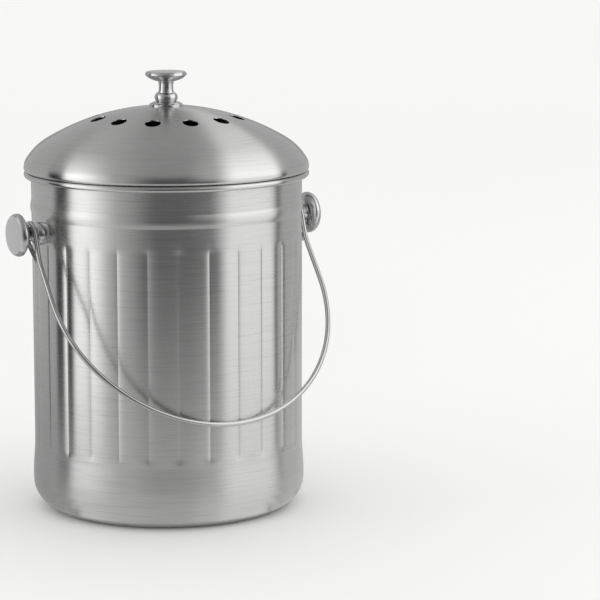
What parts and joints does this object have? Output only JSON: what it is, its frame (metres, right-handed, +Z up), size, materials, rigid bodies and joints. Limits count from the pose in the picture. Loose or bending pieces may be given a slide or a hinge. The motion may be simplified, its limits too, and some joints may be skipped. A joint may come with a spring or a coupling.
{
  "type": "compost caddy",
  "caption": "Countertop compost pail of fluted steel with a swinging wire bail and a vented domed lift-off lid that holds a charcoal filter.",
  "frame": {"origin": "middle of the base, on the surface that the caddy stands on", "axes": "+Z up, X along the line of the bail's two pivots, -Y towards the side where the bail hangs"},
  "size_m": [0.2168, 0.182, 0.2803],
  "materials": {
    "brushed_shell": "satin, brushed round the body",
    "spun_plate": "satin, circular brushing",
    "polished_knob": "polished, with a satin face",
    "polished_wire": "polished",
    "zinc_fastener": "plain zinc plate",
    "carbon_felt": "matt black carbon felt"
  },
  "bodies": {
    "pail": {"pail": "brushed_shell", "pivot_collar_left": "polished_knob", "pivot_knob_left": "polished_knob", "pivot_screw_left": "zinc_fastener", "pivot_washer_left": "zinc_fastener", "pivot_collar_right": "polished_knob", "pivot_knob_right": "polished_knob", "pivot_screw_right": "zinc_fastener", "pivot_washer_right": "zinc_fastener"},
    "bail": {"bail": "polished_wire"},
    "lid": {"lid_dome": "brushed_shell", "lid_skirt": "brushed_shell", "lid_rosette": "polished_knob", "lid_collar": "polished_knob", "lid_knob": "polished_knob", "lid_screw": "zinc_fastener", "lid_washer": "zinc_fastener"},
    "filter_cover": {"filter_cover": "spun_plate", "charcoal_filter": "carbon_felt"}
  },
  "joints": [
    {"name": "bail_swing", "type": "hinge", "parent": "pail", "child": "bail", "pos_m": [0, 0, 0.1825], "axis": [-1, 0, 0], "range_deg": [0, 284]},
    {"name": "lid_lift", "type": "slide", "parent": "pail", "child": "lid", "axis": [0, 0, 1], "range_m": [0, 0.06]},
    {"name": "cover_pull", "type": "slide", "parent": "lid", "child": "filter_cover", "axis": [0, 0, -1], "range_m": [0, 0.006]}
  ]
}
